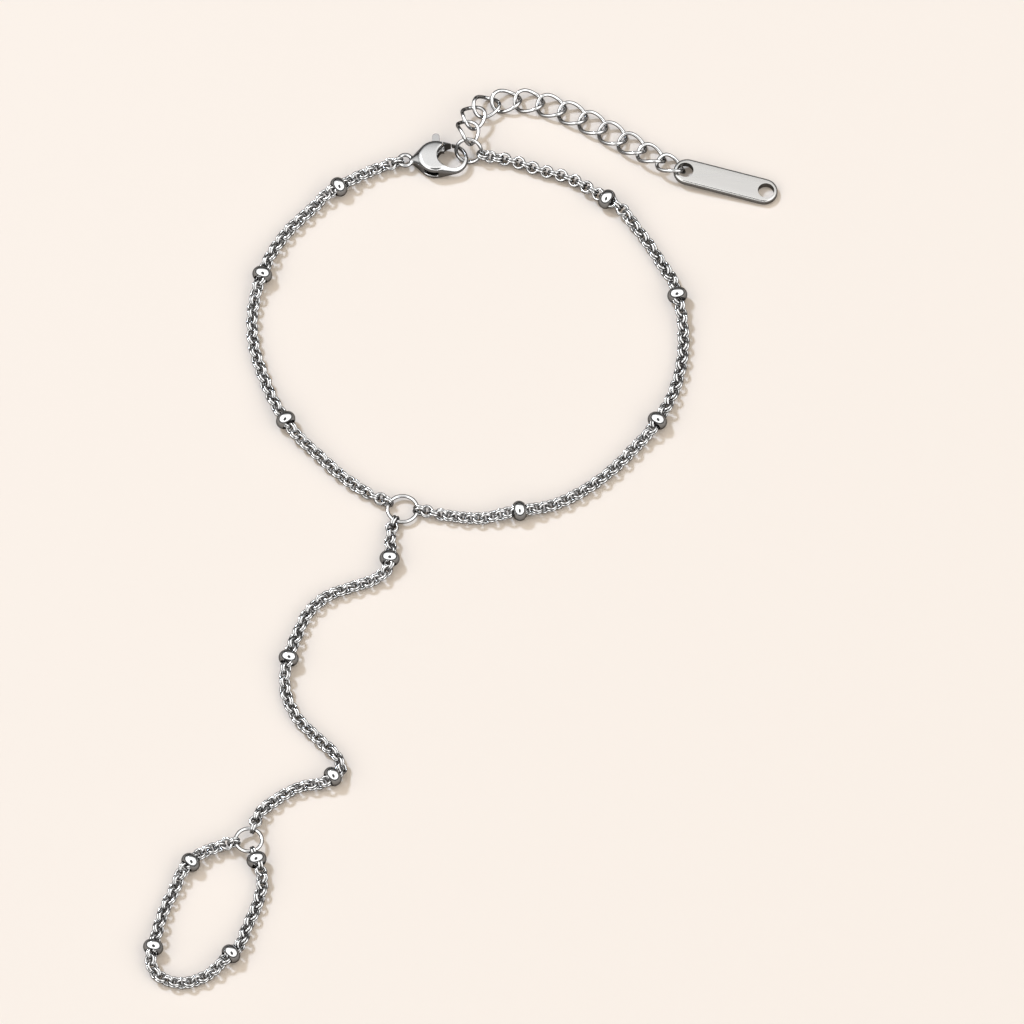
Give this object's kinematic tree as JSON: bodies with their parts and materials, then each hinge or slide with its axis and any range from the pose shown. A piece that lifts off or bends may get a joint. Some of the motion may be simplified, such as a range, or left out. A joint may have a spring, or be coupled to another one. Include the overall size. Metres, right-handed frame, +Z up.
{
  "type": "hand chain bracelet",
  "caption": "Fine steel chain bracelet joined by a beaded hand chain to a finger loop, lying fastened, with lobster clasp, curb extender and flat tag.",
  "frame": {"origin": "on the surface that the bracelet lies on, under the middle of its bounding box", "axes": "+Z up, +Y from the finger loop towards the clasp, +X to the right as the picture shows it"},
  "size_m": [0.0844, 0.1382, 0.0046],
  "materials": {
    "chain_steel": "polished",
    "link_steel": "polished",
    "bead_steel": "polished",
    "clasp_steel": "polished",
    "tag_steel": "satin"
  },
  "bodies": {
    "bracelet": {"wrist_chain_left": "chain_steel", "wrist_chain_right": "chain_steel", "hand_chain": "chain_steel", "finger_chain": "chain_steel", "centre_ring": "link_steel", "finger_ring": "link_steel", "end_ring": "link_steel", "clasp_body": "clasp_steel", "clasp_pin": "clasp_steel", "extender_tag": "tag_steel", "wrist_bead_1": "bead_steel", "wrist_bead_2": "bead_steel", "wrist_bead_3": "bead_steel", "wrist_bead_4": "bead_steel", "wrist_bead_5": "bead_steel", "wrist_bead_6": "bead_steel", "wrist_bead_7": "bead_steel", "hand_bead_1": "bead_steel", "hand_bead_2": "bead_steel", "hand_bead_3": "bead_steel", "finger_bead_1": "bead_steel", "finger_bead_2": "bead_steel", "finger_bead_3": "bead_steel", "finger_bead_4": "bead_steel", "extender_link_01": "link_steel", "extender_link_02": "link_steel", "extender_link_03": "link_steel", "extender_link_04": "link_steel", "extender_link_05": "link_steel", "extender_link_06": "link_steel", "extender_link_07": "link_steel", "extender_link_08": "link_steel", "extender_link_09": "link_steel", "extender_link_10": "link_steel", "extender_link_11": "link_steel", "extender_link_12": "link_steel"},
    "lever": {"clasp_lever": "clasp_steel"}
  },
  "joints": [
    {"name": "lever_hinge", "type": "hinge", "parent": "bracelet", "child": "lever", "pos_m": [-0.00415, 0.0587, 0.00125], "axis": [0, 0, -1], "range_deg": [0, 25], "stiffness_Nm_per_rad": 0.00002, "springref_deg": -17.19}
  ]
}
